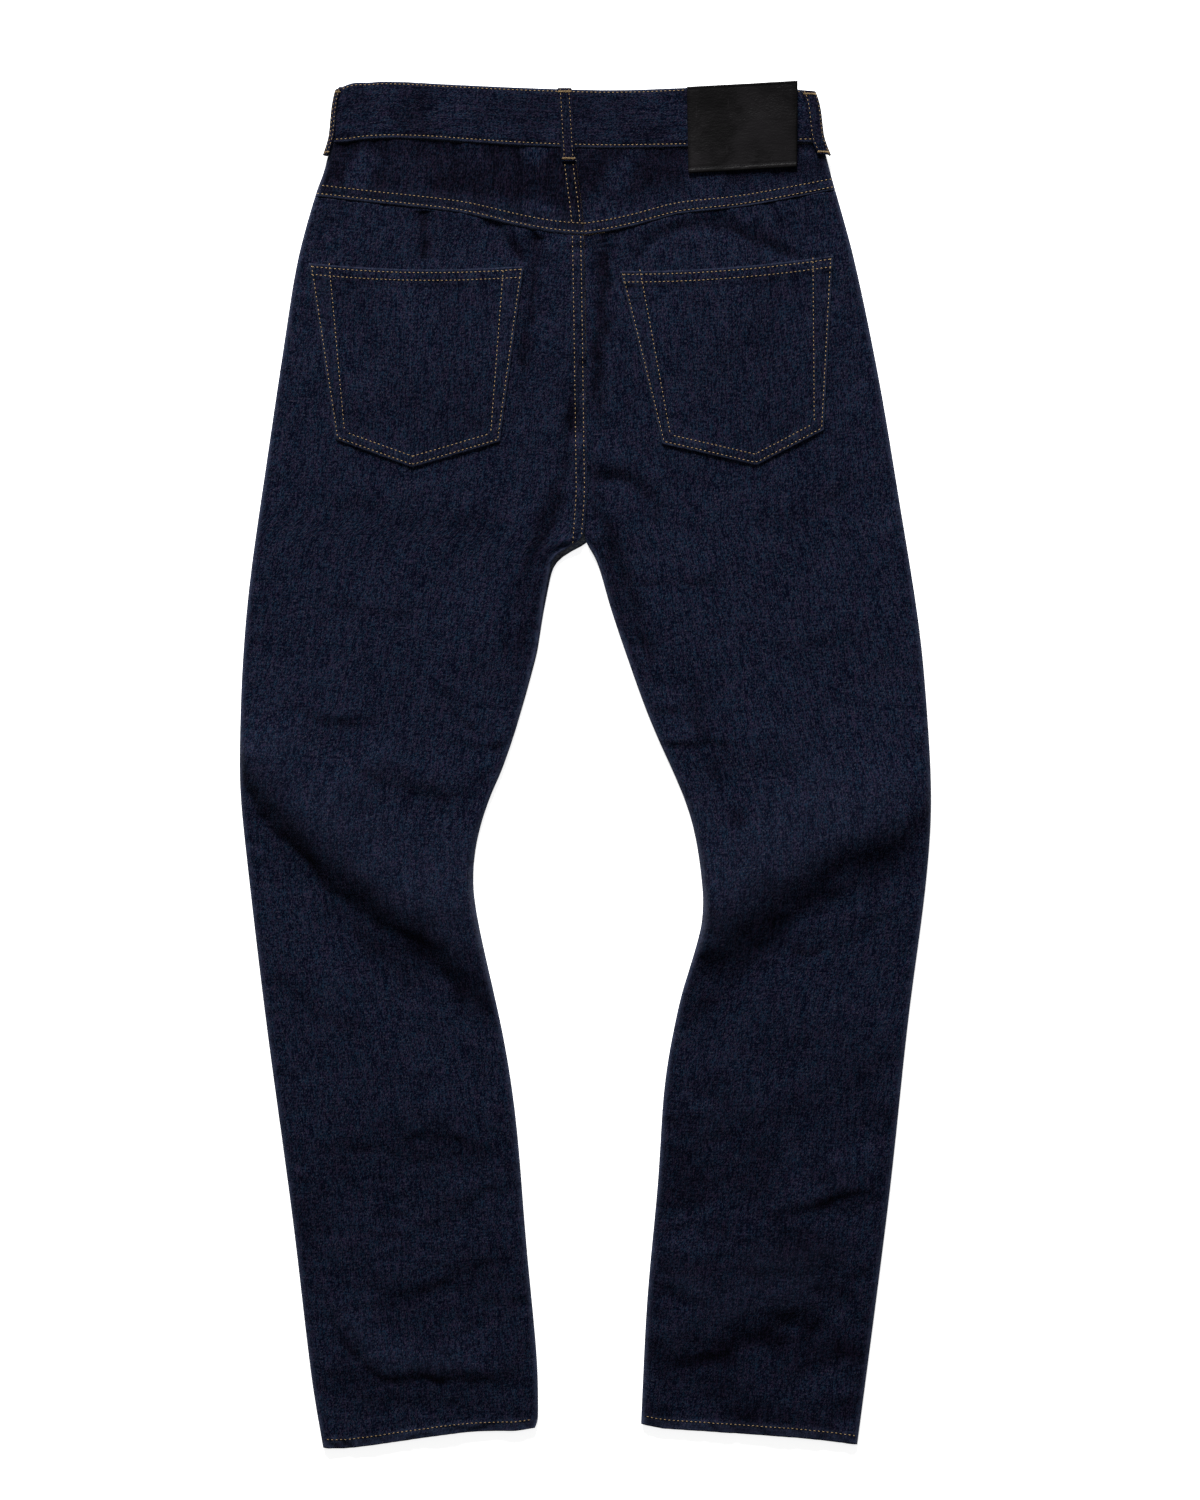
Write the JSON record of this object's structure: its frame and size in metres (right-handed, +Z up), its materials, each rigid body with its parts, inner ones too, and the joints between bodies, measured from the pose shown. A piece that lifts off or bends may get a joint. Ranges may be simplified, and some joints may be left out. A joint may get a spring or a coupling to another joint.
{
  "type": "slim fit jeans",
  "caption": "Slim denim jeans laid flat with the back up: two legs, yokes, back pockets, waistband with belt loops and a leather patch.",
  "frame": {"origin": "middle of the garment's outline, on the surface that it lies on", "axes": "+Z up from the surface, out of the garment's back; +Y from the hems towards the waist; +X towards the wearer's right leg"},
  "size_m": [0.5392, 1.0648, 0.016],
  "materials": {
    "denim": "matt dark indigo twill with grey flecks and slubs",
    "thread": "tan sewing thread",
    "leather": "smooth black leather, semi-matt",
    "button": "antique metal"
  },
  "bodies": {
    "root": {"back_leg_left": "denim", "back_leg_right": "denim", "yoke_left": "denim", "yoke_right": "denim", "front_leg_left": "denim", "front_leg_right": "denim", "pocket_facing_left": "denim", "pocket_facing_right": "denim", "back_pocket_left": "denim", "back_pocket_right": "denim", "waistband": "denim", "belt_loop_back": "denim", "belt_loop_side_left": "denim", "belt_loop_side_right": "denim", "belt_loop_front_left": "denim", "belt_loop_front_right": "denim", "patch": "leather", "waist_button": "button", "fly_zip": "button"}
  },
  "joints": []
}
